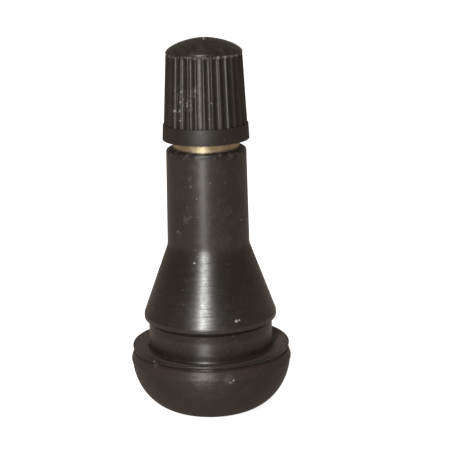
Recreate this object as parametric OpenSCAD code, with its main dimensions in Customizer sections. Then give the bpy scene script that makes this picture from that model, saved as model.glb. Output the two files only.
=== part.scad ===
// Snap-in tyre valve: a rubber body moulded on a brass stem, with a screwed valve core and a ribbed cap.
// Millimetres, +Z up, origin at the centre of the flat under the rubber base.

/* [Rim hole] */
// Diameter of the rim hole that the valve snaps into
rim_hole_d = 11.4; // [11:0.1:13]
// How much larger the relaxed groove is than the hole, in radius
groove_squeeze = 1.6; // [1.2:0.05:2.2]
// Width of the groove that grips the rim
groove_w = 2.9; // [2:0.1:4]

/* [Rubber base] */
// Diameter of the flat under the base
base_flat_d = 8.1; // [7:0.1:11]
// Height of the bulb up to its widest circle
bulb_h = 6.45; // [5:0.05:9]
// How far the bulb stands out beyond the groove
bulb_out = 2.15; // [1.5:0.05:3]
// How far the mould's parting line lies below the bulb's widest circle
parting_drop = 0.5; // [0.2:0.05:1]
// How far the band above the parting line stands out beyond the bulb
band_out = 0.05; // [0.02:0.01:0.12]
// Height of the band above the parting line
band_h = 0.95; // [0.6:0.05:1.2]
// Rounding of the band's upper edge
band_round = 0.5; // [0.1:0.05:0.8]
// Height of the lip's edge above the bulb's widest circle
lip_h = 1.3; // [1:0.05:2]
// How far the lip's edge stands out beyond the groove
lip_out = 2; // [1.2:0.02:2.6]
// Height of the lip's rim, above its shallow undercut
lip_rim_h = 0.35; // [0.2:0.05:0.6]
// Depth of the undercut below the lip's rim
lip_undercut = 0.06; // [0.02:0.02:0.2]
// How deep the top of the lip is dished
lip_dish = 0.7; // [0.2:0.05:1]
// Rounding at the bottom of the dish
dish_round = 0.5; // [0.1:0.05:1]
// Diameter of the air inlet in the rubber
inlet_d = 4; // [3.6:0.1:5]
// Width of the inlet's chamfer
inlet_flare = 0.35; // [0.1:0.05:0.8]

/* [Rubber barb and neck] */
// How far the barb stands out beyond the groove
barb_out = 0.52; // [0.3:0.02:1]
// Height of the barb's slanted underside
barb_rise = 0.5; // [0.3:0.05:1]
// Height of the barb's short upright edge
barb_edge_h = 0.5; // [0.2:0.05:1]
// Height of the cone above the barb
cone_h = 8.25; // [5:0.05:12]
// Height of the neck above the cone
neck_h = 11.45; // [8:0.05:20]
// Rubber around the brass at the top of the neck
neck_wall = 0.79; // [0.5:0.01:1.5]
// How much wider in radius the neck is at its foot
neck_taper = 0.17; // [0:0.01:0.4]
// Rounding of the neck's top edge
neck_round = 0.6; // [0.1:0.05:0.7]
// Rounding where the cone runs into the neck
cone_round = 2; // [0.5:0.5:8]
// Rounding of the lip's and the barb's edges
edge_round = 0.18; // [0.05:0.01:0.3]

/* [Brass stem] */
// Outside diameter of the stem's thread
thread_d = 7.7; // [7:0.1:9]
// Length of stem that stands out of the rubber
thread_len = 9.45; // [9:0.05:12]
// Chamfer at the stem's mouth, outside and inside
mouth_chamfer = 0.4; // [0.1:0.05:0.6]
// Height of the plain collar that is bonded into the rubber's top
collar_bond_h = 1.6; // [1:0.1:4]
// Diameter of the stem in the neck
waist_d = 6.6; // [6.2:0.1:6.9]
// Diameter of the stem in the cone and the base
shank_d = 5.6; // [5:0.1:6]
// Diameter of the stem's foot flange
foot_d = 7.6; // [6.8:0.1:9]
// Height of the foot flange
foot_h = 1.2; // [0.6:0.1:2]
// Height of the foot above the base flat
foot_lift = 2.6; // [1.5:0.1:4]
// Number of bonding rings on the shank
bond_rings = 3; // [1:1:3]
// How far a bonding ring stands out
ring_out = 0.35; // [0.1:0.05:0.6]
// Height of one bonding ring
ring_h = 1; // [0.6:0.1:1.3]
// Diameter of the air passage through the stem
passage_d = 3.2; // [2.6:0.1:3.4]

/* [Valve cap] */
// Gap between the neck's top and the cap, where the brass shows
brass_gap = 0.95; // [0.5:0.05:1.6]
// Height of the smooth skirt below the ribs
skirt_h = 1.85; // [1:0.05:3]
// How far the skirt stands out beyond the ribs
skirt_out = 0.22; // [0.06:0.02:0.6]
// How much narrower in radius the skirt's top is than its foot
skirt_taper = 0.1; // [0:0.02:0.15]
// How far the dome's edge stands out beyond the ribs
dome_out = 0.02; // [0:0.02:0.1]
// Number of grip ribs
ribs = 30; // [24:1:34]
// Depth of the flutes between the ribs
rib_h = 0.24; // [0.1:0.02:0.3]
// Wall between the thread and the flutes, at the ribs' upper end
cap_wall = 0.22; // [0.18:0.02:0.8]
// How much wider in radius the ribs are at their foot
cap_taper = 0.44; // [0:0.02:0.8]
// Height of the domed top
dome_h = 1.65; // [1.4:0.05:3]
// Thickness of the dome at its centre
dome_wall = 1; // [0.6:0.05:1.4]
// Height of the hollow above the seal, where the core's tip has room
cavity_h = 1.16; // [1:0.02:2]
// Chamfer at the mouth of the cap's bore
cap_chamfer = 0.5; // [0.2:0.05:0.7]
// Thickness of the seal ring in the cap
seal_h = 1; // [0.6:0.05:1.1]
// Radial width of the seal ring
seal_w = 1.05; // [0.6:0.05:1.1]

/* [Valve core plug] */
// Outside diameter of the core's thread
core_thread_d = 5.12; // [4.9:0.02:5.3]
// Depth of the plug's top below the stem's mouth
plug_depth = 0.9; // [0.4:0.05:1.5]
// Height of the plug's blade, which a core tool turns
blade_h = 1.7; // [1:0.1:2.5]
// Thickness of the blade
blade_w = 2; // [1.6:0.1:2.2]
// Height of the plug's threaded body
plug_h = 3; // [2.6:0.1:4]
// Diameter of the plug's air passage
plug_bore_d = 2.9; // [2.6:0.1:3]
// Height of the plug's inturned lip under the barrel's head
swivel_lip_h = 0.4; // [0.3:0.05:0.7]

/* [Valve core barrel] */
// Outside diameter of the barrel's neck, inside the plug's lip
barrel_neck_d = 2.9; // [2.8:0.02:3]
// How far the barrel's head stands out over the plug's lip
head_out = 0.3; // [0.2:0.02:0.4]
// Height of the barrel's head
head_h = 0.8; // [0.5:0.05:1]
// Distance from the plug to the barrel's flange
flange_gap = 0.3; // [0.15:0.05:0.6]
// Diameter of the flange above the gasket
flange_d = 4.5; // [4.2:0.1:4.6]
// Height of the flange above the gasket
flange_h = 0.6; // [0.4:0.05:1]
// Height of the gasket and its conical seat
gasket_h = 1.9; // [1.4:0.1:2.4]
// Diameter of the gasket's upper end
gasket_top_d = 4.7; // [4.5:0.05:4.9]
// Diameter of the gasket's lower end
gasket_low_d = 3.9; // [3.8:0.05:4]
// Height of the ridge below the gasket
ridge_h = 0.4; // [0.2:0.05:0.8]
// Diameter of the barrel's lower tube
barrel_d = 3.2; // [3.1:0.02:3.3]
// Length of the barrel's lower tube below the ridge
barrel_len = 7.5; // [7:0.1:9]
// Height of the barrel's tapered sealing nose
nose_h = 0.6; // [0.3:0.05:1]
// Diameter of the barrel's spring chamber
spring_bore_d = 2.26; // [2.22:0.02:2.4]
// Height of the narrow bore below the spring
throat_h = 1.8; // [1.2:0.1:2.4]
// Diameter of the narrow bore below the spring
throat_d = 1.6; // [1.4:0.05:1.7]

/* [Valve core pin and spring] */
// Depth of the pin's tip below the stem's mouth
pin_depth = 0.3; // [0:0.05:0.6]
// Diameter of the pin
pin_d = 1; // [0.8:0.02:1.1]
// Travel of the pin when it is pressed
pin_travel = 1.5; // [0.8:0.1:1.8]
// Diameter of the collar that is crimped on the pin
pin_collar_d = 1.98; // [1.8:0.02:2]
// Height of the pin's collar
pin_collar_h = 0.6; // [0.4:0.05:1]
// Length of the spring at rest
spring_len = 4.5; // [4:0.1:5]
// Number of turns of the spring
spring_turns = 6; // [4:1:7]
// Thickness of the spring's wire
wire_d = 0.26; // [0.2:0.02:0.3]
// Diameter of the sealing cup at the pin's foot
cup_d = 3; // [2.8:0.05:3.2]
// Wall of the cup's rim
cup_wall = 0.16; // [0.1:0.02:0.2]
// Height of the cup's solid floor
cup_floor_h = 1.4; // [0.8:0.1:2]
// Height of the rubber washer in the cup
washer_h = 1; // [0.7:0.05:1.4]
// Depth of the cup's rim below the washer's face
rim_drop = 0.35; // [0.2:0.05:0.5]
// Height of the riveted end of the pin under the cup
rivet_h = 0.45; // [0.3:0.05:0.8]

/* [Clearances] */
// Radial clearance of the cap's thread and the core's thread
thread_clear = 0.07; // [0.04:0.01:0.1]
// Radial clearance of the pin in the plug, and of the barrel's head
slide_clear = 0.1; // [0.06:0.01:0.12]
// Gap between faces that seal or seat when the valve is shut
seat_gap = 0.02; // [0.01:0.005:0.04]

/* [Hidden] */
$fn = 96;
// Steps in one rounded corner and in the bulb's and the dome's curves
arc_steps = 6;
curve_steps = 14;
// Overrun of every cut past the surface that it opens
over = 0.2;
// Colours
rubber_color = "#2e2a27";
plastic_color = "#2b2a28";
brass_color = "#b99442";
steel_color = "#a9a9a4";
gasket_color = "#7a1f1a";

// Rubber body: radii
groove_r = rim_hole_d / 2 + groove_squeeze;
bulb_r = groove_r + bulb_out;
band_r = bulb_r + band_out;
lip_r = groove_r + lip_out;
barb_r = groove_r + barb_out;
thread_r = thread_d / 2;
neck_r = thread_r + neck_wall;
neck_foot_r = neck_r + neck_taper;
// Rubber body: heights
parting_z = bulb_h - parting_drop;
lip_z = bulb_h + lip_h;
groove_z = lip_z + groove_w;
barb_z = groove_z + barb_rise;
cone_z = barb_z + barb_edge_h;
neck_z = cone_z + cone_h;
neck_top_z = neck_z + neck_h;

// Stem: radii and heights
waist_r = waist_d / 2;
shank_r = shank_d / 2;
foot_r = foot_d / 2;
passage_r = passage_d / 2;
mouth_z = neck_top_z + thread_len;
foot_top_z = foot_lift + foot_h;
ring_pitch = (barb_z - foot_top_z) / (bond_rings + 1);
waist_z = neck_z - cone_h / 2;
collar_z = neck_top_z - collar_bond_h;

// Core: heights, down from the stem's mouth
plug_top_z = mouth_z - plug_depth;
blade_z = plug_top_z - blade_h;
plug_z = blade_z - plug_h;
head_z = plug_z + swivel_lip_h + seat_gap;
head_top_z = head_z + head_h;
flange_top_z = plug_z - flange_gap;
gasket_top_z = flange_top_z - flange_h;
gasket_z = gasket_top_z - gasket_h;
ridge_z = gasket_z - ridge_h;
nose_z = ridge_z - barrel_len;
shoulder_z = nose_z + throat_h;
spring_top_z = shoulder_z + spring_len;
pin_top_z = mouth_z - pin_depth;
washer_top_z = nose_z - seat_gap;
washer_z = washer_top_z - washer_h;
cup_z = washer_z - cup_floor_h;
rivet_z = cup_z - rivet_h;
chamber_z = rivet_z - pin_travel - cup_floor_h / 2;

// Core: radii
plug_r = core_thread_d / 2;
core_bore_r = plug_r + thread_clear;
plug_bore_r = plug_bore_d / 2;
barrel_neck_r = barrel_neck_d / 2;
swivel_r = barrel_neck_r + slide_clear;
head_r = barrel_neck_r + head_out;
head_chamber_r = head_r + slide_clear;
flange_r = flange_d / 2;
gasket_top_r = gasket_top_d / 2;
gasket_low_r = gasket_low_d / 2;
chamber_r = gasket_low_r + seat_gap;
ridge_r = (barrel_d + gasket_low_d) / 4;
barrel_r = barrel_d / 2;
spring_bore_r = spring_bore_d / 2;
throat_r = throat_d / 2;
nose_r = (throat_r + barrel_r) / 2;
pin_r = pin_d / 2;
pin_hole_r = pin_r + slide_clear;
pin_collar_r = pin_collar_d / 2;
wire_r = wire_d / 2;
coil_r = spring_bore_r - slide_clear - wire_r;
cup_r = cup_d / 2;
washer_r = cup_r - cup_wall;
rivet_r = (pin_r + washer_r) / 2;

// Cap: radii and heights
cap_z = neck_top_z + brass_gap;
cap_bore_r = thread_r + thread_clear;
rib_top_r = cap_bore_r + cap_wall + rib_h;
rib_foot_r = rib_top_r + cap_taper;
skirt_r = rib_foot_r + skirt_out;
skirt_top_r = skirt_r - skirt_taper;
rib_z = cap_z + skirt_h;
seal_r = thread_r - slide_clear;
seal_z = mouth_z + seat_gap;
seal_seat_z = seal_z + seal_h + seat_gap;
cavity_r = seal_r - seal_w;
ceiling_z = seal_seat_z + cavity_h;
cap_top_z = ceiling_z + dome_wall;
dome_z = cap_top_z - dome_h;
dome_r = rib_top_r + dome_out;
// Shares of one rib's pitch: what its crest takes, and how far the first flute is turned from the +X axis
crest_share = 0.42;
flute_turn_share = 0.875;
// Powers that shape the dome's rise and its edge
dome_rise_share = 1.62;
dome_edge_share = 0.615;
// Share of a flute's width over which its upper end runs out
runout_share = 0.5;
// Share of the cavity's radius that its flat ceiling keeps
ceiling_share = 0.85;

// Length and direction of a plane vector
function unit(v) = v / norm(v);
// An angle brought to the range from -180 to 180
function turn(a) = a > 180 ? a - 360 : (a < -180 ? a + 360 : a);
// The arc that rounds corner b between a and c, never longer than half of the shorter side
function rounded_corner(a, b, c, radius) =
    let (u = unit(a - b),
         v = unit(c - b),
         half = acos(u * v) / 2,
         reach = min(radius / tan(half), norm(a - b) / 2, norm(c - b) / 2),
         r = reach * tan(half),
         centre = b + unit(u + v) * (r / sin(half)),
         from = b + u * reach - centre,
         to = b + v * reach - centre,
         start = atan2(from[1], from[0]),
         sweep = turn(atan2(to[1], to[0]) - start))
    [for (i = [0:arc_steps])
        let (a = start + sweep * i / arc_steps) centre + r * [cos(a), sin(a)]];
function flat(p) = [p[0], p[1]];
// A path through corners [radius, height, rounding]; the first and last keep their points
function rounded_path(corners) =
    [for (i = [0:len(corners) - 1])
        let (p = flat(corners[i]))
        each (corners[i][2] == 0 || i == 0 || i == len(corners) - 1)
            ? [p]
            : rounded_corner(flat(corners[i - 1]), p, flat(corners[i + 1]), corners[i][2])];
function reversed(list) = [for (i = [len(list) - 1:-1:0]) list[i]];

// Outside of the brass inside the rubber, from its foot up to the neck's top
stem_skin = concat(
    [[foot_r, foot_lift],
     [foot_r, foot_top_z],
     [shank_r, foot_top_z + (foot_r - shank_r) / 2]],
    [for (i = [1:bond_rings])
        let (z = foot_top_z + ring_pitch * i)
        each [[shank_r, z], [shank_r + ring_out, z], [shank_r, z + ring_h]]],
    [[shank_r, waist_z],
     [waist_r, waist_z + (waist_r - shank_r)],
     [waist_r, collar_z - (thread_r - waist_r)],
     [thread_r, collar_z],
     [thread_r, neck_top_z]]);

// The bulb's curve: an ellipse from the flat that would reach its widest circle, cut at the parting line
bulb_curve = [for (i = [0:curve_steps])
    let (a = acos(parting_drop / bulb_h) * i / curve_steps)
    [base_flat_d / 2 + (bulb_r - base_flat_d / 2) * sin(a), bulb_h * (1 - cos(a))]];

// The dome's curve, from its edge to its centre
dome_curve = [for (i = [0:curve_steps])
    let (t = sin(90 * i / curve_steps))
    [i == curve_steps ? 0 : dome_r * pow(1 - pow(t, dome_rise_share), dome_edge_share),
     dome_z + dome_h * t]];

module rubber_body() {
    upper = rounded_path([
        [band_r, parting_z, 0],
        [band_r, parting_z + band_h, band_round],
        [lip_r - lip_undercut, lip_z - lip_rim_h, edge_round],
        [lip_r, lip_z - lip_rim_h / 2, edge_round],
        [lip_r, lip_z, edge_round],
        [groove_r, lip_z - lip_dish, dish_round],
        [groove_r, groove_z, edge_round],
        [barb_r, barb_z, edge_round],
        [barb_r, cone_z, edge_round + barb_edge_h / 2],
        [neck_foot_r, neck_z, cone_round],
        [neck_r, neck_top_z, neck_round],
        [thread_r, neck_top_z, 0]]);
    color(rubber_color)
        rotate_extrude()
            polygon(concat(
                [[inlet_d / 2 + inlet_flare, 0]],
                bulb_curve,
                upper,
                reversed(stem_skin),
                [[inlet_d / 2, foot_lift], [inlet_d / 2, inlet_flare]]));
}

module brass_stem() {
    color(brass_color)
        rotate_extrude()
            polygon(concat(
                stem_skin,
                [[thread_r, mouth_z - mouth_chamfer],
                 [thread_r - mouth_chamfer, mouth_z],
                 [core_bore_r + mouth_chamfer, mouth_z],
                 [core_bore_r, mouth_z - mouth_chamfer],
                 [core_bore_r, gasket_top_z - seat_gap],
                 [gasket_top_r + seat_gap, gasket_top_z - seat_gap],
                 [chamber_r, gasket_z - seat_gap],
                 [chamber_r, chamber_z],
                 [passage_r, chamber_z - (chamber_r - passage_r)],
                 [passage_r, foot_lift]]));
}

// One flute between two ribs: it leans with the cap's taper, and runs out below the dome's edge
module flute() {
    length = dome_z - rib_z;
    lean = atan(cap_taper / length);
    width = 2 * PI * rib_top_r / ribs * (1 - crest_share);
    flute_r = (width * width / 4 + rib_h * rib_h) / (2 * rib_h);
    runout = width * runout_share;
    translate([rib_foot_r - rib_h + flute_r, 0, rib_z])
        rotate([0, -lean, 0])
            rotate_extrude()
                polygon([
                    [0, 0],
                    [flute_r, 0],
                    [flute_r, length - runout],
                    [flute_r - rib_h / 2, length - runout / 3],
                    [flute_r - rib_h, length],
                    [0, length]]);
}

module valve_cap() {
    color(plastic_color)
        difference() {
            rotate_extrude()
                polygon(concat(
                    [[0, cap_z], [skirt_r - cap_chamfer / 2, cap_z]],
                    rounded_path([
                        [skirt_r - cap_chamfer / 2, cap_z, 0],
                        [skirt_r, cap_z, edge_round],
                        [skirt_top_r, rib_z, edge_round],
                        [rib_foot_r, rib_z, 0],
                        [rib_top_r, dome_z, 0],
                        [dome_r, dome_z, 0]]),
                    dome_curve));
            for (i = [0:ribs - 1])
                rotate([0, 0, (i + flute_turn_share) * 360 / ribs])
                    flute();
            rotate_extrude()
                polygon([
                    [0, cap_z - over],
                    [cap_bore_r + cap_chamfer + over, cap_z - over],
                    [cap_bore_r, cap_z + cap_chamfer],
                    [cap_bore_r, mouth_z],
                    [seal_r + seat_gap, mouth_z],
                    [seal_r + seat_gap, seal_seat_z],
                    [cavity_r, seal_seat_z],
                    [cavity_r * ceiling_share, ceiling_z],
                    [0, ceiling_z]]);
        }
}

module cap_seal() {
    color(rubber_color)
        translate([0, 0, seal_z])
            difference() {
                cylinder(r = seal_r, h = seal_h);
                translate([0, 0, -over])
                    cylinder(r = cavity_r, h = seal_h + 2 * over);
            }
}

module core_plug() {
    blade_r = plug_r - mouth_chamfer;
    color(brass_color)
        difference() {
            union() {
                rotate_extrude()
                    polygon([
                        [0, plug_z],
                        [plug_r - thread_clear, plug_z],
                        [plug_r, plug_z + thread_clear],
                        [plug_r, blade_z - mouth_chamfer / 2],
                        [plug_r - mouth_chamfer / 2, blade_z],
                        [0, blade_z]]);
                intersection() {
                    translate([0, 0, blade_z - over])
                        cylinder(r = blade_r, h = blade_h + over);
                    translate([-blade_r, -blade_w / 2, blade_z - over])
                        cube([2 * blade_r, blade_w, blade_h + over]);
                }
            }
            translate([0, 0, plug_z - over])
                cylinder(r = swivel_r, h = swivel_lip_h + 2 * over);
            translate([0, 0, plug_z + swivel_lip_h])
                cylinder(r = head_chamber_r, h = head_h + 2 * seat_gap);
            translate([0, 0, head_top_z - over])
                cylinder(r = plug_bore_r, h = blade_z - head_top_z + over);
            difference() {
                translate([0, 0, head_top_z])
                    cylinder(r = plug_bore_r, h = blade_z - head_top_z + over);
                translate([-plug_r, -blade_w / 2, blade_z])
                    cube([2 * plug_r, blade_w, over * 2]);
            }
            translate([0, 0, blade_z - over])
                cylinder(r = pin_hole_r, h = blade_h + 2 * over);
        }
}

module core_barrel() {
    color(brass_color)
        rotate_extrude()
            polygon([
                [throat_r, nose_z],
                [nose_r, nose_z],
                [barrel_r, nose_z + nose_h],
                [barrel_r, ridge_z],
                [ridge_r, ridge_z],
                [ridge_r, gasket_z],
                [barrel_neck_r, gasket_z],
                [barrel_neck_r, gasket_top_z],
                [flange_r, gasket_top_z],
                [flange_r, flange_top_z],
                [barrel_neck_r, flange_top_z],
                [barrel_neck_r, head_z],
                [head_r, head_z],
                [head_r, head_top_z],
                [spring_bore_r, head_top_z],
                [spring_bore_r, shoulder_z],
                [throat_r, shoulder_z]]);
}

module core_gasket() {
    color(gasket_color)
        rotate_extrude()
            polygon([
                [barrel_neck_r, gasket_z],
                [gasket_low_r, gasket_z],
                [gasket_top_r, gasket_top_z],
                [barrel_neck_r, gasket_top_z]]);
}

module core_pin() {
    color(brass_color)
        rotate_extrude()
            polygon(rounded_path([
                [0, rivet_z, 0],
                [rivet_r, rivet_z, rivet_h / 2],
                [rivet_r, cup_z, 0],
                [pin_r, cup_z, 0],
                [pin_r, pin_top_z, pin_r / 2],
                [0, pin_top_z, 0]]));
}

// The collar has two flats, so that air can pass it
module pin_collar() {
    flats = pin_collar_r + pin_r;
    color(brass_color)
        translate([0, 0, spring_top_z])
            difference() {
                intersection() {
                    cylinder(r = pin_collar_r, h = pin_collar_h);
                    translate([-pin_collar_r, -flats / 2, 0])
                        cube([2 * pin_collar_r, flats, pin_collar_h]);
                }
                translate([0, 0, -over])
                    cylinder(r = pin_r, h = pin_collar_h + 2 * over);
            }
}

// A round wire swept along a helix, as a closed mesh
module core_spring() {
    sides = 8;
    steps = 16;
    rings = spring_turns * steps;
    low = shoulder_z + seat_gap + wire_r;
    rise = spring_len - 2 * seat_gap - wire_d;
    points = [for (i = [0:rings], j = [0:sides - 1])
        let (a = 360 * i / steps,
             b = 360 * j / sides,
             r = coil_r + wire_r * cos(b))
        [r * cos(a), r * sin(a), low + rise * i / rings + wire_r * sin(b)]];
    walls = [for (i = [0:rings - 1], j = [0:sides - 1])
        let (k = (j + 1) % sides)
        [i * sides + j, i * sides + k, (i + 1) * sides + k, (i + 1) * sides + j]];
    ends = [[for (j = [sides - 1:-1:0]) j], [for (j = [0:sides - 1]) rings * sides + j]];
    color(steel_color)
        polyhedron(points = points, faces = concat(walls, ends), convexity = 10);
}

module pin_cup() {
    color(brass_color)
        rotate_extrude()
            polygon([
                [pin_r, cup_z],
                [rivet_r, cup_z],
                [cup_r, cup_z + cup_floor_h / 2],
                [cup_r, washer_top_z - rim_drop],
                [washer_r, washer_top_z - rim_drop],
                [washer_r, washer_z],
                [pin_r, washer_z]]);
}

module cup_washer() {
    color(rubber_color)
        translate([0, 0, washer_z])
            difference() {
                cylinder(r = washer_r, h = washer_h);
                translate([0, 0, -over])
                    cylinder(r = pin_r, h = washer_h + 2 * over);
            }
}

rubber_body();
brass_stem();
valve_cap();
cap_seal();
core_plug();
core_barrel();
core_gasket();
core_pin();
pin_collar();
core_spring();
pin_cup();
cup_washer();
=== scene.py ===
"""The looks of a snap-in tyre valve: rubber body, brass stem, ribbed plastic cap and valve core."""

import math

import bpy
from mathutils import Matrix, Vector


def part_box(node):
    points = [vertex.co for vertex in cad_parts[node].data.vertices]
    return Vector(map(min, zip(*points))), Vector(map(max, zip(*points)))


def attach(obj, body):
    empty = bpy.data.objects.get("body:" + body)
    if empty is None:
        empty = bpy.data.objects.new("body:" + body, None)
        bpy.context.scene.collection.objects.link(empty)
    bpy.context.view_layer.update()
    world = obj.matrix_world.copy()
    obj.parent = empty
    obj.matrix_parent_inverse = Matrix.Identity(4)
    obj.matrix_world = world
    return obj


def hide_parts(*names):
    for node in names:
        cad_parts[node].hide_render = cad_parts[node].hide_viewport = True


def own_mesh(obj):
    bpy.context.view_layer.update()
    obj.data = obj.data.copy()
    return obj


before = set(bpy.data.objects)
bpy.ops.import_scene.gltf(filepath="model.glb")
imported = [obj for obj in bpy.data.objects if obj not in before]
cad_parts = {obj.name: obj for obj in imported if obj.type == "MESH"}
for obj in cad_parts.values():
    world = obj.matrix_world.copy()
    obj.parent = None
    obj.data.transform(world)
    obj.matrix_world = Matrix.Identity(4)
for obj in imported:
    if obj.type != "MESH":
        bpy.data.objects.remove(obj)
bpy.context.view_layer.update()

MM = 0.001


# Sizes of the CAD nodes, in millimetres
def low(node):
    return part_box(node)[0].z / MM


def high(node):
    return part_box(node)[1].z / MM


def radius(node):
    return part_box(node)[1].x / MM


# Sizes below are in millimetres and angles in degrees; a name with SHARE is a share.
NECK_TOP = high("rubber_body")
MOUTH = high("brass_stem")
STEM_FOOT = low("brass_stem")
CAP_LOW = low("valve_cap")
CAP_TOP = high("valve_cap")

# Rubber body, from the base up
INLET_R = 2.0
INLET_FLARE = 0.35
BASE_FLAT_R = 4.05
BAND_R = radius("rubber_body")
BAND_OUT = 0.05
BULB_R = BAND_R - BAND_OUT
BULB_H = 6.45
BULB_STEPS = 40
PARTING_DROP = 0.5
PARTING_Z = BULB_H - PARTING_DROP
BAND_H = 1.15
BAND_ROUND = 0.3
SHOULDER_LOW = 0.25
SHOULDER_IN = 0.3
SHOULDER_ROUND = 0.08
GROOVE_R = 7.3
GROOVE_H = 2.9
GROOVE_ROUND = 0.18
LIP_OUT = 2
LIP_R = GROOVE_R + LIP_OUT
LIP_RISE = 1.3
LIP_Z = BULB_H + LIP_RISE
LIP_RIM_H = 0.35
LIP_RIM_ROUND = 0.1
LIP_TOP_ROUND = 0.12
LIP_UNDERCUT = 0.15
NOTCH_ROUND = 0.15
LIP_DISH = 0.7
DISH_ROUND = 0.5
GROOVE_TOP = LIP_Z + GROOVE_H
BARB_OUT = 0.52
BARB_R = GROOVE_R + BARB_OUT
BARB_H = 0.5
BARB_Z = GROOVE_TOP + BARB_H
BARB_ROUND = 0.18
CONE_Z = BARB_Z + BARB_H
CONE_H = 8.25
CONE_FOOT_ROUND = 0.4
CONE_ROUND = 2
NECK_Z = CONE_Z + CONE_H
NECK_ROUND = 0.6
RUBBER_STEP = 0.5
RUBBER_SEGMENTS = 192

# Brass stem, and the rubber neck round it
THREAD_R = 3.85
NECK_WALL = 0.79
NECK_R = THREAD_R + NECK_WALL
NECK_TAPER = 0.17
NECK_FOOT_R = NECK_R + NECK_TAPER
FOOT_R = 3.8
FOOT_H = 1.2
SHANK_R = 2.8
WAIST_R = 3.3
COLLAR_BOND_H = 1.6
BOND_RINGS = 3
RING_OUT = 0.35
RING_H = 1.0
PASSAGE_R = 1.6
CHAMBER_R = 1.97
CHAMBER_DROP = 2.2
CHAMBER_CONE_H = 0.37
SEAT_CLEAR = 0.02
MOUTH_CHAMFER = 0.4
CORE_BORE_R = 2.63
PITCH = 0.79375
THREAD_DEPTH = 0.4
THREAD_START = 0.9
STEM_SHOULDER_H = 0.4
STEM_ROWS_PER_TURN = 14
STEM_SEGMENTS = 144
ON_THREAD = 0.01
FLANK_STEEPNESS = 1.35
ROOT_FLAT_SHARE = 0.15

# Valve cap
CAP_CLEAR = 0.07
CAP_BORE_R = THREAD_R + CAP_CLEAR
CAP_WALL = 0.22
RIB_H = 0.24
RIB_TOP_R = CAP_BORE_R + CAP_WALL + RIB_H
RIB_TAPER = 0.44
RIB_FOOT_R = RIB_TOP_R + RIB_TAPER
DOME_OUT = 0.02
DOME_R = RIB_TOP_R + DOME_OUT
SKIRT_R = radius("valve_cap")
SKIRT_TAPER = 0.1
SKIRT_TOP_R = SKIRT_R - SKIRT_TAPER
SKIRT_FOOT_W = 0.25
SKIRT_FOOT_ROUND = 0.18
SKIRT_TOP_ROUND = 0.12
SKIRT_H = 1.85
RIB_Z = CAP_LOW + SKIRT_H
LEDGE_H = 0.001
DOME_H = 1.65
DOME_Z = CAP_TOP - DOME_H
DOME_RISE_SHARE = 1.62
DOME_EDGE_SHARE = 0.615
DOME_STEPS = 28
RIBS = 30
POINTS_PER_RIB = 16
CREST_SHARE = 0.18
FLUTE_H = 0.19
FLUTE_TURN_SHARE = 0.875
RUNOUT_SHARE = 0.5
RUNOUT_STEP = 0.04
SIDE_STEP = 0.5
GATE_R = 0.5
GATE_DEEP = 0.08
GATE_LAND = 0.1
GATE_FLOOR_SHARE = 0.55
GATE_TIP_SHARE = 0.4
CAVITY_R = 2.7
END_WALL = 1
CEILING = CAP_TOP - END_WALL
CEILING_SHARE = 0.85
SEAL_CLEAR = 0.02
BORE_ROWS_PER_TURN = 9
BORE_MOUTH = 0.5
BORE_THREAD_CLEAR = 0.04
BORE_THREAD_DEPTH = THREAD_DEPTH - BORE_THREAD_CLEAR
BORE_FADE_START = 0.6
BORE_FADE_H = 0.8
BORE_FADE_GAP = 0.2
CAP_WALL_MIN = 0.1

# Core spring
WIRE_R = 0.13
COILS = 6
STEPS_PER_COIL = 28
WIRE_SIDES = 12

# Camera, fitted to the photograph
CAMERA_DISTANCE = 165
CAMERA_ELEVATION = 13.97
CAMERA_ROLL = 1.42
CAMERA_AIM_Z = 22
FOCAL_PIXELS = 1409.2
AXIS_PIXEL = (208.14, 225.31)
PHOTO_PIXELS = 458
SENSOR_MM = 36
CLIP_NEAR = 5
CLIP_FAR = 20000

# Marks on the surfaces: each an angle from the front, a height, a distance from the axis and a size
RUBBER_MARKS = [
    (-19, 18.8, 5.21, 0.15), (23, 12.4, 7.55, 0.22), (26, 12.45, 7.53, 0.14), (15, 6.05, 9.5, 0.15),
    (13, 5.8, 9.45, 0.12), (-45, 7.7, 9.3, 0.12), (4, 28, 4.69, 0.07), (-15, 26.2, 4.72, 0.08),
    (-47, 22.1, 4.78, 0.08), (53, 23.3, 4.76, 0.09)]
# Chalky bloom on the rubber; the large patch at the front of the band is partly a painted highlight
RUBBER_BLOOM_AND_SHEEN = [
    (-24, 28.5, 4.68, 0.35), (-24, 27.6, 4.69, 0.3), (-32, 23.7, 4.75, 0.55), (-26, 24.1, 4.75, 0.35),
    (-47, 22.1, 4.78, 0.25), (-42, 22, 4.78, 0.2), (53, 23.3, 4.76, 0.25), (-6, 6.5, 9.5, 1.7),
    (12, 6.2, 9.5, 0.8), (-44, 7.2, 8.9, 0.6)]
CAP_MARKS = [
    (-36, 38.3, 4.5, 0.17), (-37, 37.2, 4.6, 0.18), (-48, 36.1, 4.65, 0.2), (-38, 36.2, 4.65, 0.21),
    (-14, 38.5, 4.5, 0.17), (9, 37.1, 4.6, 0.12), (5, 35.3, 4.7, 0.17), (-37, 35.1, 4.7, 0.17),
    (-26, 37.1, 4.6, 0.15), (-26, 36.8, 4.6, 0.17), (-15, 37.9, 4.5, 0.15), (-38, 37.8, 4.5, 0.15)]
CAP_BLOOM = [
    (-37, 38, 4.6, 1.5), (-26, 36.8, 4.67, 0.9), (-14, 38.3, 4.6, 0.9), (-45, 35.8, 4.7, 1.2)]
DOME_BEND = 0.09
NICK_DEEP = 0.04
NICK_SIZE = 0.14
NICK_REACH = (0, 0.2, 0.4, 0.6, 0.8, 1, 1.2)
NICK = [(0, CAP_TOP - NICK_DEEP - DOME_BEND * r * r, r, NICK_SIZE) for r in NICK_REACH]
# Angle of the flute that faces the key lamp, where a highlight is painted
LIT_FLUTE_ANGLE = -7.6
MARK_CORE_SHARE = 0.4
SPECK_CORE_SHARE = 0.6

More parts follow.
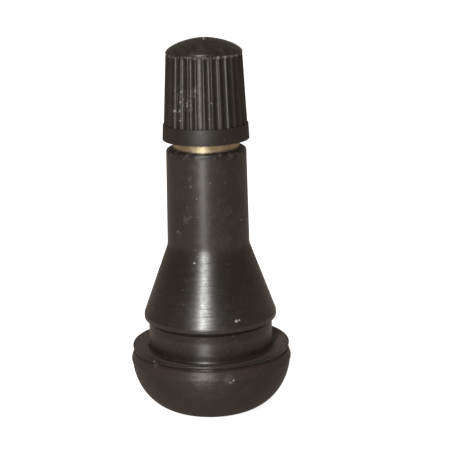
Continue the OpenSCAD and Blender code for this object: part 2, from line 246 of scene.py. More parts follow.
# Colours of the rubber
RUBBER_DARK = (0.0085, 0.0063, 0.0049)
RUBBER_LIGHT = (0.0135, 0.0098, 0.0078)
RUBBER_SMUDGE = (0.032, 0.025, 0.0205)
DISH_PALE_BROWN = (0.072, 0.056, 0.044)
CONE_BLACK = (0.004, 0.003, 0.0022)
# Painted shade in the notch under the lip's rim
NOTCH_PAINTED_SHADE = (0.002, 0.0015, 0.001)
BELOW_LIP_BROWN = (0.027, 0.0185, 0.016)
RUBBER_SPECK = (0.24, 0.22, 0.2)
RUBBER_CHALK_AND_SHEEN = (0.085, 0.077, 0.068)
BRIM_GREY = (0.06, 0.052, 0.044)

# Colours of the cap
PLASTIC_DARK = (0.008, 0.0066, 0.005)
PLASTIC_LIGHT = (0.012, 0.0094, 0.0073)
PLASTIC_SPECK = (0.14, 0.13, 0.12)
# Grey of the painted highlight down the flute that faces the key lamp
FLUTE_HIGHLIGHT_GREY = (0.07, 0.065, 0.06)
# Grey at the flutes' top ends: partly wear, partly a painted glint
FLUTE_END_GLINT_AND_WEAR = (0.11, 0.1, 0.09)
DOME_BROWN = (0.034, 0.028, 0.019)
NICK_GREY = (0.42, 0.4, 0.37)

# Light: how the white room shows in mirrors, and the even light that it gives
FLOOR_R = 3000
FLOOR_SEGMENTS = 64
FLOOR_COLOUR = (0.8, 0.8, 0.8)
FLOOR_GLOW = 0.85
MIRRORED_SHARE = 0.05
HORIZON_GLOW = 0.27
OVERHEAD_GLOW = 0.2
SIDE_TILT = -0.05
ROOM_LIGHT = 0.35
MIRRORED_TINT = (1, 0.91, 0.82)
FLOOR_IN_MIRROR = (0.5, 0.415, 0.345)


# Mesh helpers
ON_AXIS = 1e-6


def rounded(corners, steps=6):
    """A path through corners (radius, height, rounding), with an arc at each rounded corner."""
    path = []
    for i, (r, z, rounding) in enumerate(corners):
        here = Vector((r, z))
        if rounding == 0 or i in (0, len(corners) - 1):
            path.append((r, z))
            continue
        before = Vector(corners[i - 1][:2]) - here
        after = Vector(corners[i + 1][:2]) - here
        half = before.angle(after) / 2
        reach = min(rounding / math.tan(half), before.length / 2, after.length / 2)
        arc_r = reach * math.tan(half)
        inward = (before.normalized() + after.normalized()).normalized()
        centre = here + inward * arc_r / math.sin(half)
        start = here + before.normalized() * reach - centre
        end = here + after.normalized() * reach - centre
        first = math.atan2(start.y, start.x)
        sweep = math.remainder(math.atan2(end.y, end.x) - first, 2 * math.pi)
        for k in range(steps + 1):
            a = first + sweep * k / steps
            path.append((centre.x + arc_r * math.cos(a), centre.y + arc_r * math.sin(a)))
    return path


def subdivided(path, step):
    """The same path with no stretch longer than step."""
    out = [path[0]]
    for (r0, z0), (r1, z1) in zip(path, path[1:]):
        n = max(1, math.ceil(math.hypot(r1 - r0, z1 - z0) / step))
        out += [(r0 + (r1 - r0) * k / n, z0 + (z1 - z0) * k / n) for k in range(1, n + 1)]
    return out


def lathe(name, path, segments, shape=None, closed=True, sharp=40):
    """A mesh turned from a path of (radius, height); shape(r, z, angle) moves each point."""
    verts, rows = [], []
    for r, z in path:
        if r < ON_AXIS:
            rows.append([len(verts)])
            verts.append((0, 0, z * MM))
            continue
        row = []
        for j in range(segments):
            a = 2 * math.pi * j / segments
            rr, zz = shape(r, z, a) if shape else (r, z)
            row.append(len(verts))
            verts.append((rr * MM * math.cos(a), rr * MM * math.sin(a), zz * MM))
        rows.append(row)
    pairs = list(zip(rows, rows[1:])) + ([(rows[-1], rows[0])] if closed else [])
    faces = []
    for a, b in pairs:
        for j in range(segments):
            k = (j + 1) % segments
            if len(a) == 1 and len(b) == 1:
                continue
            if len(a) == 1:
                faces.append((a[0], b[k], b[j]))
            elif len(b) == 1:
                faces.append((a[j], a[k], b[0]))
            else:
                faces.append((a[j], a[k], b[k], b[j]))
    return solid(name, verts, faces, sharp)


def solid(name, verts, faces, sharp=40):
    """An object from a mesh in metres, smooth but for its edges sharper than an angle."""
    mesh = bpy.data.meshes.new(name)
    mesh.from_pydata(verts, [], faces)
    mesh.validate()
    obj = bpy.data.objects.new(name, mesh)
    bpy.context.scene.collection.objects.link(obj)
    mesh.shade_smooth()
    mesh.set_sharp_from_angle(angle=math.radians(sharp))
    return obj


def thread_wave(z, angle):
    """Height of a right-hand thread's flank, from 0 at its root to 1 at its crest."""
    phase = (z / PITCH - angle / (2 * math.pi)) % 1
    return min(1, max(0, abs(2 * phase - 1) * FLANK_STEEPNESS - ROOT_FLAT_SHARE))


def fade(x, start, end):
    """A smooth rise from 0 at start to 1 at end."""
    t = min(1, max(0, (x - start) / (end - start)))
    return t * t * (3 - 2 * t)


# Materials
def material(name):
    """A material with one principled shader; returns it, its node tree and the shader."""
    mat = bpy.data.materials.new(name)
    mat.use_nodes = True
    mat.node_tree.nodes.clear()
    tree = mat.node_tree
    shader = tree.nodes.new("ShaderNodeBsdfPrincipled")
    output = tree.nodes.new("ShaderNodeOutputMaterial")
    tree.links.new(shader.outputs["BSDF"], output.inputs["Surface"])
    return mat, tree, shader


def node(tree, kind, **values):
    """A shader node; each value goes to the input or else to the setting of its name."""
    made = tree.nodes.new(kind)
    for key, value in values.items():
        if key in made.inputs:
            made.inputs[key].default_value = value
        else:
            setattr(made, key, value)
    return made


def object_coords(tree):
    return node(tree, "ShaderNodeTexCoord").outputs["Object"]


def object_point(tree, scale=(1, 1, 1)):
    """The point in millimetres, stretched by scale."""
    mapping = node(tree, "ShaderNodeMapping", Scale=tuple(s / MM for s in scale))
    tree.links.new(object_coords(tree), mapping.inputs["Vector"])
    return mapping.outputs["Vector"]


def off_axis(tree):
    """The point's direction and distance from the axis, as a vector without height."""
    flat = node(tree, "ShaderNodeVectorMath", operation="MULTIPLY")
    tree.links.new(object_coords(tree), flat.inputs[0])
    flat.inputs[1].default_value = (1, 1, 0)
    return flat.outputs["Vector"]


def noise(tree, point, scale, detail=3, roughness=0.5):
    made = node(tree, "ShaderNodeTexNoise", Scale=scale, Detail=detail, Roughness=roughness)
    tree.links.new(point, made.inputs["Vector"])
    return made.outputs["Fac"]


def ramp(tree, value, low_at, high_at, low_to, high_to):
    made = node(tree, "ShaderNodeMapRange")
    made.inputs["From Min"].default_value = low_at
    made.inputs["From Max"].default_value = high_at
    made.inputs["To Min"].default_value = low_to
    made.inputs["To Max"].default_value = high_to
    tree.links.new(value, made.inputs["Value"])
    return made.outputs["Result"]


def math_node(tree, operation, a, b):
    made = node(tree, "ShaderNodeMath", operation=operation)
    for socket, value in zip(made.inputs, (a, b)):
        if isinstance(value, (int, float)):
            socket.default_value = value
        else:
            tree.links.new(value, socket)
    return made.outputs["Value"]


def mix_colour(tree, factor, a, b):
    """Colour a where the factor is 0 and b where it is 1; either is a colour or a socket."""
    made = node(tree, "ShaderNodeMix", data_type="RGBA")
    tree.links.new(factor, made.inputs["Factor"])
    first, second, result = made.inputs[6], made.inputs[7], made.outputs[2]
    for socket, value in ((first, a), (second, b)):
        if isinstance(value, tuple):
            socket.default_value = (*value, 1)
        else:
            tree.links.new(value, socket)
    return result


def times(tree, a, b):
    return math_node(tree, "MULTIPLY", a, b)


def patches(tree, point, scale, detail, roughness, levels, to):
    """Cloudy noise, where its rise between two levels is spread over the two values of to."""
    return ramp(tree, noise(tree, point, scale, detail, roughness), *levels, *to)


def painted(tree, colour, coats):
    """A colour under coats of (mask, colour)."""
    for mask, coat in coats:
        colour = mix_colour(tree, mask, colour, coat)
    return colour


def bump(tree, shader, height, distance, under=None):
    made = node(tree, "ShaderNodeBump", Strength=1, Distance=distance * MM)
    tree.links.new(height, made.inputs["Height"])
    if under:
        tree.links.new(under, made.inputs["Normal"])
    tree.links.new(made.outputs["Normal"], shader.inputs["Normal"])
    return made.outputs["Normal"]


def within(tree, value, start, end, soft):
    """1 where a length is between two sizes, fading over soft."""
    rise = ramp(tree, value, (start - soft) * MM, start * MM, 0, 1)
    fall = ramp(tree, value, end * MM, (end + soft) * MM, 1, 0)
    return times(tree, rise, fall)


def height_mask(tree, bottom, top, soft):
    """1 between two heights, fading over soft."""
    split = node(tree, "ShaderNodeSeparateXYZ")
    tree.links.new(object_coords(tree), split.inputs["Vector"])
    return within(tree, split.outputs["Z"], bottom, top, soft)


def radius_mask(tree, inner, outer, soft):
    """1 between two distances from the axis, fading over soft."""
    length = node(tree, "ShaderNodeVectorMath", operation="LENGTH")
    tree.links.new(off_axis(tree), length.inputs[0])
    return within(tree, length.outputs["Value"], inner, outer, soft)


def angle_mask(tree, centre, half, soft):
    """1 within half of an angle from the front, fading over soft."""
    unit = node(tree, "ShaderNodeVectorMath", operation="NORMALIZE")
    tree.links.new(off_axis(tree), unit.inputs[0])
    near = node(tree, "ShaderNodeVectorMath", operation="DOT_PRODUCT")
    tree.links.new(unit.outputs["Vector"], near.inputs[0])
    a = math.radians(centre)
    near.inputs[1].default_value = (math.sin(a), -math.cos(a), 0)
    edge, inside = math.cos(math.radians(half + soft)), math.cos(math.radians(half))
    return ramp(tree, near.outputs["Value"], edge, inside, 0, 1)


def weighted(tree, start, *pairs):
    """A start value plus each mask times its weight."""
    total = start
    for mask, weight in pairs:
        total = math_node(tree, "ADD", total, times(tree, mask, weight))
    return total


def specks(tree, point, scale, size, seed_shift):
    """Scattered small round dots, 1 inside and 0 outside."""
    shifted = node(tree, "ShaderNodeVectorMath", operation="ADD")
    tree.links.new(point, shifted.inputs[0])
    shifted.inputs[1].default_value = (seed_shift, seed_shift, seed_shift)
    cells = node(tree, "ShaderNodeTexVoronoi", Scale=scale)
    tree.links.new(shifted.outputs["Vector"], cells.inputs["Vector"])
    return ramp(tree, cells.outputs["Distance"], size * SPECK_CORE_SHARE, size, 1, 0)


def placed(tree, spots):
    """Single marks, 1 inside and 0 outside: (angle from the front, height, distance from the axis, size)."""
    coords = object_coords(tree)
    total = 0
    for angle, z, r, size in spots:
        a = math.radians(angle)
        away = node(tree, "ShaderNodeVectorMath", operation="DISTANCE")
        tree.links.new(coords, away.inputs[0])
        away.inputs[1].default_value = (r * math.sin(a) * MM, -r * math.cos(a) * MM, z * MM)
        mark = ramp(tree, away.outputs["Value"], size * MARK_CORE_SHARE * MM, size * MM, 1, 0)
        total = math_node(tree, "MAXIMUM", total, mark)
    return total


def lathe_gloss(tree, shader, amount):
    """Gloss drawn out upwards, as fine turning marks round the axis do."""
    tangent = node(tree, "ShaderNodeTangent", direction_type="RADIAL", axis="Z")
    tree.links.new(tangent.outputs["Tangent"], shader.inputs["Tangent"])
    if isinstance(amount, (int, float)):
        shader.inputs["Anisotropic"].default_value = amount
    else:
        tree.links.new(amount, shader.inputs["Anisotropic"])
    shader.inputs["Anisotropic Rotation"].default_value = 0.25


def rubber_material():
    mat, tree, shader = material("moulded_rubber")
    point = object_point(tree)
    groove_wall = radius_mask(tree, 0, GROOVE_R + 0.35, soft=0.1)
    in_groove = times(tree, height_mask(tree, LIP_Z - LIP_DISH, GROOVE_TOP + 0.1, soft=0.1), groove_wall)
    shiny_groove = times(tree, height_mask(tree, LIP_Z + 0.7, GROOVE_TOP - 1.05, soft=0.4), groove_wall)
    in_notch = times(tree, height_mask(tree, LIP_Z - 0.66, LIP_Z - LIP_RIM_H, soft=0.08),
                     radius_mask(tree, GROOVE_R + 1.5, BAND_R - 0.15, soft=0.1))
    cone_foot = height_mask(tree, CONE_Z - 0.5, CONE_Z + 1.5, soft=2.5)
    in_dish = times(tree, height_mask(tree, LIP_Z - LIP_DISH - 0.1, LIP_Z - 0.02, soft=0.05),
                    radius_mask(tree, GROOVE_R + 0.4, LIP_R - 0.3, soft=0.2))
    on_bulb = height_mask(tree, 0, PARTING_Z - 0.02, soft=0.02)
    on_band = height_mask(tree, PARTING_Z, LIP_Z - 0.5, soft=0.02)
    on_cone = height_mask(tree, CONE_Z, NECK_Z - 1, soft=1.5)
    on_brim = height_mask(tree, NECK_TOP - 0.55, NECK_TOP + 0.1, soft=0.3)

    cloud = patches(tree, point, scale=0.35, detail=5, roughness=0.6, levels=(0.35, 0.65), to=(0, 1))
    smudge = patches(tree, point, scale=0.8, detail=6, roughness=0.7, levels=(0.52, 0.72), to=(0, 1))
    brim_wear = patches(tree, point, scale=1.7, detail=5, roughness=0.7, levels=(0.5, 0.62), to=(0, 0.6))
    streak_point = object_point(tree, (0.35, 0.35, 1))
    streaks = patches(tree, streak_point, scale=3, detail=6, roughness=0.75, levels=(0.42, 0.62), to=(0, 0.7))
    dust = specks(tree, point, scale=0.9, size=0.07, seed_shift=3.1)
    marks = math_node(tree, "MAXIMUM", times(tree, dust, 0.2), placed(tree, RUBBER_MARKS))
    colour = painted(tree, mix_colour(tree, cloud, RUBBER_DARK, RUBBER_LIGHT), [
        (times(tree, smudge, 0.5), RUBBER_SMUDGE),
        # Paler brown in the lip's dish
        (times(tree, in_dish, 0.8), DISH_PALE_BROWN),
        (times(tree, on_cone, 0.55), CONE_BLACK),
        # Painted shade: near-black in the notch under the lip's rim
        (times(tree, in_notch, 0.8), NOTCH_PAINTED_SHADE),
        (weighted(tree, 0, (on_bulb, 0.4), (on_band, 0.8)), BELOW_LIP_BROWN),
        (marks, RUBBER_SPECK),
        # Chalky bloom in streaks, partly a painted highlight on the front of the band
        (times(tree, placed(tree, RUBBER_BLOOM_AND_SHEEN), streaks), RUBBER_CHALK_AND_SHEEN),
        (times(tree, on_brim, brim_wear), BRIM_GREY)])
    tree.links.new(colour, shader.inputs["Base Color"])

    wear = patches(tree, point, scale=1.6, detail=5, roughness=0.5, levels=(0.3, 0.7), to=(0.345, 0.405))
    rough = weighted(tree, wear, (on_bulb, 0.12), (on_band, 0.1), (in_dish, 0.15), (smudge, 0.04),
                     (on_brim, 0.1))
    tree.links.new(rough, shader.inputs["Roughness"])
    level = weighted(tree, 0.6, (in_groove, -0.25), (shiny_groove, 0.4), (on_bulb, -0.27),
                     (on_band, -0.35), (in_notch, -0.35), (cone_foot, 0.18), (on_brim, -0.25))
    tree.links.new(level, shader.inputs["Specular IOR Level"])
    lathe_gloss(tree, shader, weighted(tree, 0.5, (shiny_groove, 0.25)))

    fine = bump(tree, shader, noise(tree, point, scale=9, detail=4, roughness=0.6), distance=0.003)
    rings_point = object_point(tree, (0.06, 0.06, 1))
    wide_rings = noise(tree, rings_point, scale=1.4, detail=2, roughness=0.5)
    fine_rings = noise(tree, rings_point, scale=3.1, detail=2, roughness=0.6)
    rings = times(tree, weighted(tree, 0, (wide_rings, 0.55), (fine_rings, 0.45)), on_cone)
    turned = bump(tree, shader, rings, distance=0.125, under=fine)
    bump(tree, shader, marks, distance=0.03, under=turned)
    return mat


def plastic_material():
    mat, tree, shader = material("cap_plastic")
    point = object_point(tree)
    on_flutes = height_mask(tree, RIB_Z + 0.3, DOME_Z - 0.5, soft=0.4)
    at_flute_ends = height_mask(tree, DOME_Z - 0.32, DOME_Z - 0.12, soft=0.08)
    on_dome = height_mask(tree, DOME_Z + 0.15, CAP_TOP, soft=0.2)
    on_skirt = height_mask(tree, CAP_LOW, RIB_Z - 0.02, soft=0.02)

    cloud = patches(tree, point, scale=0.5, detail=4, roughness=0.6, levels=(0.35, 0.65), to=(0, 1))
    dots_point = object_point(tree, (1, 1, 0.6))
    dots = patches(tree, dots_point, scale=6, detail=5, roughness=0.7, levels=(0.54, 0.66), to=(0, 0.8))
    flute_highlight_patches = patches(tree, point, scale=1.4, detail=5, roughness=0.7, levels=(0.35, 0.65), to=(0.45, 1))
    end_glint_and_wear = patches(tree, point, scale=1.9, detail=4, roughness=0.7, levels=(0.45, 0.6), to=(0, 0.8))
    mottle = patches(tree, point, scale=1.3, detail=6, roughness=0.75, levels=(0.45, 0.65), to=(0, 0.7))
    nick_wear = patches(tree, point, scale=2.6, detail=3, roughness=0.6, levels=(0.35, 0.6), to=(0.35, 0.9))
    dust = specks(tree, point, scale=1.1, size=0.08, seed_shift=7.7)
    marks = math_node(tree, "MAXIMUM", times(tree, dust, 0.35), placed(tree, CAP_MARKS))
    bloom = times(tree, placed(tree, CAP_BLOOM), dots)
    # Painted highlight: cloudy lighter grey down the flute that faces the key lamp
    flute_highlight = times(tree, on_flutes, angle_mask(tree, LIT_FLUTE_ANGLE, half=2.3, soft=1.5))
    colour = painted(tree, mix_colour(tree, cloud, PLASTIC_DARK, PLASTIC_LIGHT), [
        (marks, PLASTIC_SPECK),
        (bloom, PLASTIC_SPECK),
        (times(tree, flute_highlight, flute_highlight_patches), FLUTE_HIGHLIGHT_GREY),
        # Partly wear and partly a painted glint: lighter grey at the flutes' top ends
        (times(tree, at_flute_ends, end_glint_and_wear), FLUTE_END_GLINT_AND_WEAR),
        (times(tree, on_dome, mottle), DOME_BROWN),
        (times(tree, placed(tree, NICK), nick_wear), NICK_GREY)])
    tree.links.new(colour, shader.inputs["Base Color"])

    wear = patches(tree, point, scale=2.2, detail=4, roughness=0.5, levels=(0.3, 0.7), to=(0.34, 0.42))
    tree.links.new(weighted(tree, wear, (on_skirt, 0.15), (bloom, 0.2)), shader.inputs["Roughness"])
    shader.inputs["Specular IOR Level"].default_value = 0.4
    lathe_gloss(tree, shader, 0.4)
    fine = bump(tree, shader, noise(tree, point, scale=7, detail=3, roughness=0.6), distance=0.006)
    bump(tree, shader, marks, distance=0.03, under=fine)
    return mat


def soft_material(name, colour, roughness):
    """Plain fine-grained rubber or plastic for the small inner pieces."""
    mat, tree, shader = material(name)
    point = object_point(tree)
    cloud = noise(tree, point, scale=1.5, detail=3)
    lighter = tuple(c * 1.35 for c in colour)
    tree.links.new(mix_colour(tree, cloud, colour, lighter), shader.inputs["Base Color"])
    wear = patches(tree, point, scale=5, detail=3, roughness=0.5, levels=(0.3, 0.7),
                   to=(roughness - 0.06, roughness + 0.06))
    tree.links.new(wear, shader.inputs["Roughness"])
    bump(tree, shader, noise(tree, point, scale=12, detail=3), distance=0.006)
    return mat


def turned_metal(name, colour, dull, roughness, ring_depth=0.008):
    """Metal with fine turning rings and a little tarnish."""
    mat, tree, shader = material(name)
    point = object_point(tree)
    stain = patches(tree, point, scale=0.9, detail=5, roughness=0.6, levels=(0.42, 0.7), to=(0, 1))
    tree.links.new(mix_colour(tree, stain, colour, dull), shader.inputs["Base Color"])
    shader.inputs["Metallic"].default_value = 1
    wear = patches(tree, point, scale=3, detail=4, roughness=0.5, levels=(0.3, 0.7),
                   to=(roughness - 0.06, roughness + 0.08))
    tree.links.new(wear, shader.inputs["Roughness"])
    rings_point = object_point(tree, (0.03, 0.03, 1))
    bump(tree, shader, noise(tree, rings_point, scale=14, detail=2, roughness=0.6), ring_depth)
    return mat


# Pieces
def stem_skin():
    """Outside of the brass inside the rubber, from its foot to the neck's top, as the CAD has it."""
    foot_top = STEM_FOOT + FOOT_H
    ring_pitch = (BARB_Z - foot_top) / (BOND_RINGS + 1)
    waist_z = (CONE_Z + NECK_Z) / 2
    collar_z = NECK_TOP - COLLAR_BOND_H
    path = [(FOOT_R, STEM_FOOT), (FOOT_R, foot_top), (SHANK_R, foot_top + (FOOT_R - SHANK_R) / 2)]
    for i in range(1, BOND_RINGS + 1):
        z = foot_top + ring_pitch * i
        path += [(SHANK_R, z), (SHANK_R + RING_OUT, z), (SHANK_R, z + RING_H)]
    return path + [(SHANK_R, waist_z), (WAIST_R, waist_z + WAIST_R - SHANK_R),
                   (WAIST_R, collar_z - (THREAD_R - WAIST_R)), (THREAD_R, collar_z), (THREAD_R, NECK_TOP)]


def rubber_body():
    """The moulded rubber: bulb, band, lip, rim groove, barb, cone and neck round the brass."""
    bulb = []
    for i in range(BULB_STEPS + 1):
        a = math.acos(PARTING_DROP / BULB_H) * i / BULB_STEPS
        bulb.append((BASE_FLAT_R + (BULB_R - BASE_FLAT_R) * math.sin(a), BULB_H * (1 - math.cos(a))))
    upper = rounded([
        (BAND_R, PARTING_Z, 0),
        (BAND_R, PARTING_Z + SHOULDER_LOW, BAND_ROUND),
        (BAND_R - SHOULDER_IN, PARTING_Z + BAND_H, SHOULDER_ROUND),
        (LIP_R - LIP_UNDERCUT, LIP_Z - LIP_RIM_H, NOTCH_ROUND),
        (LIP_R, LIP_Z - LIP_RIM_H / 2, LIP_RIM_ROUND),
        (LIP_R, LIP_Z, LIP_TOP_ROUND),
        (GROOVE_R, LIP_Z - LIP_DISH, DISH_ROUND),
        (GROOVE_R, GROOVE_TOP, GROOVE_ROUND),
        (BARB_R, BARB_Z, BARB_ROUND),
        (BARB_R, CONE_Z, CONE_FOOT_ROUND),
        (NECK_FOOT_R, NECK_Z, CONE_ROUND),
        (NECK_R, NECK_TOP, NECK_ROUND),
        (THREAD_R, NECK_TOP, 0)], steps=10)
    inner = stem_skin()[::-1] + [(INLET_R, STEM_FOOT), (INLET_R, INLET_FLARE)]
    path = [(INLET_R + INLET_FLARE, 0)] + bulb + upper + inner[1:]
    return lathe("rubber_valve_body", subdivided(path, RUBBER_STEP), RUBBER_SEGMENTS, sharp=35)


def brass_stem():
    """The turned stem with its outside thread, the core's bore and seat, and the air passage."""
    thread_low = NECK_TOP + THREAD_START
    thread_top = MOUTH - MOUTH_CHAMFER
    outer = subdivided([(THREAD_R, NECK_TOP + STEM_SHOULDER_H), (THREAD_R, thread_top)],
                       PITCH / STEM_ROWS_PER_TURN)
    mouth = [(THREAD_R - MOUTH_CHAMFER, MOUTH), (CORE_BORE_R + MOUTH_CHAMFER, MOUTH),
             (CORE_BORE_R, thread_top)]

    def thread(r, z, angle):
        if z <= NECK_TOP or abs(r - THREAD_R) > ON_THREAD:
            return r, z
        depth = THREAD_DEPTH * fade(z, thread_low, thread_low + PITCH)
        return r - depth * (1 - thread_wave(z, angle)), z

    gasket_top, gasket_low = high("core_gasket"), low("core_gasket")
    chamber_low = low("core_pin") - CHAMBER_DROP
    inside = [(CORE_BORE_R, gasket_top), (radius("core_gasket") + SEAT_CLEAR, gasket_top),
              (CHAMBER_R, gasket_low), (CHAMBER_R, chamber_low),
              (PASSAGE_R, chamber_low - CHAMBER_CONE_H), (PASSAGE_R, STEM_FOOT)]
    path = stem_skin() + outer + mouth + inside
    return lathe("threaded_stem", path, STEM_SEGMENTS, shape=thread)


def dome_path():
    """The cap's domed end from its edge to the moulding mark at its centre."""
    dome = []
    for i in range(DOME_STEPS):
        rise = math.sin(math.pi / 2 * i / DOME_STEPS)
        r = DOME_R * (1 - rise ** DOME_RISE_SHARE) ** DOME_EDGE_SHARE
        if r > GATE_R + GATE_LAND:
            dome.append((r, DOME_Z + DOME_H * rise))
    gate_floor = CAP_TOP - GATE_DEEP
    return dome + [(GATE_R, gate_floor), (GATE_R * GATE_FLOOR_SHARE, gate_floor),
                   (GATE_R * GATE_TIP_SHARE, CAP_TOP), (0, CAP_TOP)]


def valve_cap():
    """The screw cap: a fluted taper between its skirt and its dome, with the thread in its bore."""
    width = 2 * math.pi * RIB_TOP_R / RIBS * (1 - CREST_SHARE)
    flute_r = (width * width / 4 + FLUTE_H * FLUTE_H) / (2 * FLUTE_H)
    runout = width * RUNOUT_SHARE
    ledge_z = RIB_Z - LEDGE_H

    def fluted(r, z, angle):
        share = (angle / (2 * math.pi) * RIBS - FLUTE_TURN_SHARE) % 1
        off = min(share, 1 - share) * 2 * math.pi * r / RIBS
        if off >= width / 2:
            return r, z
        depth = max(0, math.sqrt(flute_r * flute_r - off * off) - (flute_r - FLUTE_H))
        return r - depth * math.sqrt(min(1, max(0, (DOME_Z - z) / runout))), z

    runout_r = RIB_TOP_R + (RIB_FOOT_R - RIB_TOP_R) * runout / (DOME_Z - RIB_Z)
    sides = subdivided([(RIB_FOOT_R, RIB_Z), (runout_r, DOME_Z - runout)], SIDE_STEP)
    sides += subdivided([(runout_r, DOME_Z - runout), (RIB_TOP_R, DOME_Z)], RUNOUT_STEP)[1:]
    skirt = rounded([(SKIRT_R - SKIRT_FOOT_W, CAP_LOW, 0), (SKIRT_R, CAP_LOW, SKIRT_FOOT_ROUND),
                     (SKIRT_TOP_R, ledge_z, SKIRT_TOP_ROUND), (RIB_FOOT_R, ledge_z, 0)])
    pocket_r = radius("cap_seal") + SEAL_CLEAR
    pocket_top = high("cap_seal") + SEAL_CLEAR
    bore_top = low("cap_seal") - SEAL_CLEAR
    bore_low = CAP_LOW + BORE_MOUTH
    fade_low, fade_top = CAP_LOW + BORE_FADE_START, bore_top - BORE_FADE_GAP
    bore = subdivided([(CAP_BORE_R, bore_top), (CAP_BORE_R, bore_low)], PITCH / BORE_ROWS_PER_TURN)
    inside = [(0, CEILING), (CAVITY_R * CEILING_SHARE, CEILING), (CAVITY_R, pocket_top),
              (pocket_r, pocket_top), (pocket_r, bore_top)] + bore + [(CAP_BORE_R + BORE_MOUTH, CAP_LOW)]

    def shape(r, z, angle):
        if abs(r - CAP_BORE_R) < ON_THREAD and z < bore_top:
            ends = fade(z, fade_low, fade_low + BORE_FADE_H) * fade(fade_top - z, 0, BORE_FADE_H)
            return r - BORE_THREAD_DEPTH * ends * (1 - thread_wave(z, angle)), z
        if ledge_z <= z <= CAP_TOP and r >= CAP_BORE_R + CAP_WALL_MIN:
            return fluted(r, z, angle)
        return r, z

    path = dome_path()[::-1] + sides[::-1][1:] + skirt[::-1] + inside[::-1]
    made = lathe("ribbed_cap", path, RIBS * POINTS_PER_RIB, shape=shape, closed=False, sharp=50)
    made.data.flip_normals()
    return made


def core_spring():
    """A coil of round wire between the barrel and the pin's collar, with flat ends."""
    bottom, top = low("core_spring") + WIRE_R, high("core_spring") - WIRE_R
    coil_r = radius("core_spring") - WIRE_R
    rings = COILS * STEPS_PER_COIL
    verts, faces = [], []
    for i in range(rings + 1):
        a = 2 * math.pi * i / STEPS_PER_COIL
        z = bottom + (top - bottom) * i / rings
        for j in range(WIRE_SIDES):
            b = 2 * math.pi * j / WIRE_SIDES
            r = coil_r + WIRE_R * math.cos(b)
            verts.append((r * MM * math.cos(a), r * MM * math.sin(a), (z + WIRE_R * math.sin(b)) * MM))
    for i in range(rings):
        here, there = i * WIRE_SIDES, (i + 1) * WIRE_SIDES
        for j in range(WIRE_SIDES):
            k = (j + 1) % WIRE_SIDES
            faces.append((here + j, here + k, there + k, there + j))
    faces.append(tuple(reversed(range(WIRE_SIDES))))
    faces.append(tuple(rings * WIRE_SIDES + j for j in range(WIRE_SIDES)))
    return solid("pin_spring", verts, faces)


def dress(obj, mat, body, slot, *nodes):
    """Gives a piece its material and its body, and hides the CAD nodes that it stands for; the slot is not
    used.
    """
    obj.data.materials.clear()
    obj.data.materials.append(mat)
    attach(obj, body)
    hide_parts(*nodes)


rubber = rubber_material()
plastic = plastic_material()
brass = turned_metal("stem_brass", (0.54, 0.455, 0.3), (0.32, 0.255, 0.165), 0.38, ring_depth=0.003)
core_brass = turned_metal("core_brass", (0.82, 0.64, 0.33), (0.6, 0.44, 0.2), 0.26)
steel = turned_metal("spring_steel", (0.62, 0.62, 0.6), (0.45, 0.44, 0.42), 0.3)
seal = soft_material("seal_rubber", (0.015, 0.015, 0.015), 0.55)
gasket = soft_material("gasket_red", (0.36, 0.03, 0.02), 0.35)

dress(rubber_body(), rubber, "valve_body", "body_rubber", "rubber_body")
dress(brass_stem(), brass, "valve_body", "stem_brass", "brass_stem")
dress(valve_cap(), plastic, "cap", "cap_plastic", "valve_cap")
spring = core_spring()
dress(spring, steel, "barrel", "spring_steel", "core_spring")
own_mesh(spring)

kept = {"cap_seal": seal, "core_plug": core_brass, "core_barrel": core_brass, "core_gasket": gasket,
        "core_pin": core_brass, "pin_collar": core_brass, "pin_cup": core_brass, "cup_washer": seal}
for name, mat in kept.items():
    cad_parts[name].data.materials.clear()
    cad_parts[name].data.materials.append(mat)


# Floor, world, lights and camera
def seen_directly(tree):
    """The Light Path node, and 1 where the camera sees a surface itself or through another."""
    path = node(tree, "ShaderNodeLightPath")
    seen = math_node(tree, "MAXIMUM", path.outputs["Is Camera Ray"], path.outputs["Is Transmission Ray"])
    return path, seen


def white_floor():
    """A white floor that keeps the object's shadow; metal and rubber mirror it darker and warmer."""
    mat = bpy.data.materials.new("white_floor")
    mat.use_nodes = True
    tree = mat.node_tree
    tree.nodes.clear()
    light_path, seen = seen_directly(tree)
    glossy = light_path.outputs["Is Glossy Ray"]
    shown = math_node(tree, "MAXIMUM", seen, times(tree, glossy, MIRRORED_SHARE))
    glow = node(tree, "ShaderNodeEmission", Color=(1, 1, 1, 1))
    tree.links.new(times(tree, shown, FLOOR_GLOW), glow.inputs["Strength"])
    diffuse = node(tree, "ShaderNodeBsdfDiffuse")
    tree.links.new(mix_colour(tree, glossy, FLOOR_COLOUR, FLOOR_IN_MIRROR), diffuse.inputs["Color"])
    both = node(tree, "ShaderNodeAddShader")
    tree.links.new(diffuse.outputs["BSDF"], both.inputs[0])
    tree.links.new(glow.outputs["Emission"], both.inputs[1])
    output = node(tree, "ShaderNodeOutputMaterial")
    tree.links.new(both.outputs["Shader"], output.inputs["Surface"])
    floor = lathe("floor", [(FLOOR_R, 0), (0, 0)], FLOOR_SEGMENTS, closed=False)
    floor.data.materials.append(mat)


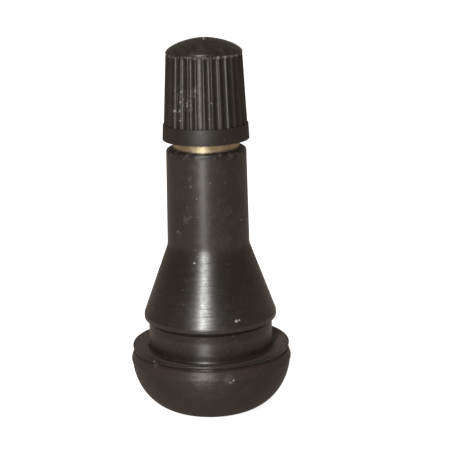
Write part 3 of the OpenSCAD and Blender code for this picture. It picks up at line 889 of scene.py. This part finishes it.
def world_light():
    """A white room for the camera; mirrors show it dimmer, palest at the horizon."""
    world = bpy.data.worlds.new("studio")
    bpy.context.scene.world = world
    world.use_nodes = True
    tree = world.node_tree
    tree.nodes.clear()
    light_path, seen = seen_directly(tree)
    coords = node(tree, "ShaderNodeTexCoord")
    split = node(tree, "ShaderNodeSeparateXYZ")
    tree.links.new(coords.outputs["Generated"], split.inputs["Vector"])
    overhead = ramp(tree, split.outputs["Z"], 0, 0.5, HORIZON_GLOW, OVERHEAD_GLOW)
    side = ramp(tree, split.outputs["X"], -1, 1, 1 + SIDE_TILT, 1 - SIDE_TILT)
    glossy = times(tree, light_path.outputs["Is Glossy Ray"], times(tree, overhead, side))
    room = times(tree, light_path.outputs["Is Diffuse Ray"], ROOM_LIGHT)
    background = node(tree, "ShaderNodeBackground")
    tree.links.new(mix_colour(tree, seen, MIRRORED_TINT, (1, 1, 1)), background.inputs["Color"])
    tree.links.new(math_node(tree, "MAXIMUM", seen, math_node(tree, "MAXIMUM", glossy, room)),
                   background.inputs["Strength"])
    output = node(tree, "ShaderNodeOutputWorld")
    tree.links.new(background.outputs["Background"], output.inputs["Surface"])


def area_light(name, azimuth, elevation, distance, width, height, power):
    """A soft box that looks at the middle of the valve; azimuth 0 is the front, positive to the right."""
    data = bpy.data.lights.new(name, "AREA")
    data.shape = "RECTANGLE"
    data.size = width * MM
    data.size_y = height * MM
    data.energy = power
    obj = bpy.data.objects.new(name, data)
    bpy.context.scene.collection.objects.link(obj)
    a, e = math.radians(azimuth), math.radians(elevation)
    aim = Vector((0, 0, CAMERA_AIM_Z)) * MM
    away = Vector((math.sin(a) * math.cos(e), -math.cos(a) * math.cos(e), math.sin(e)))
    obj.location = aim + away * distance * MM
    obj.rotation_euler = (-away).to_track_quat("-Z", "Y").to_euler()


def camera():
    """The camera of the photograph, from the front."""
    data = bpy.data.cameras.new("camera")
    data.sensor_width = SENSOR_MM
    data.sensor_fit = "HORIZONTAL"
    data.lens = FOCAL_PIXELS / PHOTO_PIXELS * SENSOR_MM
    data.shift_x = (PHOTO_PIXELS / 2 - AXIS_PIXEL[0]) / PHOTO_PIXELS
    data.shift_y = (AXIS_PIXEL[1] - PHOTO_PIXELS / 2) / PHOTO_PIXELS
    data.clip_start = CLIP_NEAR * MM
    data.clip_end = CLIP_FAR * MM
    obj = bpy.data.objects.new("camera", data)
    bpy.context.scene.collection.objects.link(obj)
    e = math.radians(CAMERA_ELEVATION)
    away = Vector((0, -math.cos(e), math.sin(e)))
    place = Matrix.Translation((Vector((0, 0, CAMERA_AIM_Z)) + away * CAMERA_DISTANCE) * MM)
    aim = (-away).to_track_quat("-Z", "Y").to_matrix().to_4x4()
    obj.matrix_world = place @ aim @ Matrix.Rotation(math.radians(-CAMERA_ROLL), 4, "Z")
    bpy.context.scene.camera = obj


white_floor()
world_light()
area_light("key", azimuth=-13, elevation=26, distance=420, width=30, height=120, power=2.1)
area_light("low_strip", azimuth=-13, elevation=3, distance=420, width=30, height=60, power=0.35)
camera()
bpy.context.scene.view_settings.view_transform = "Standard"
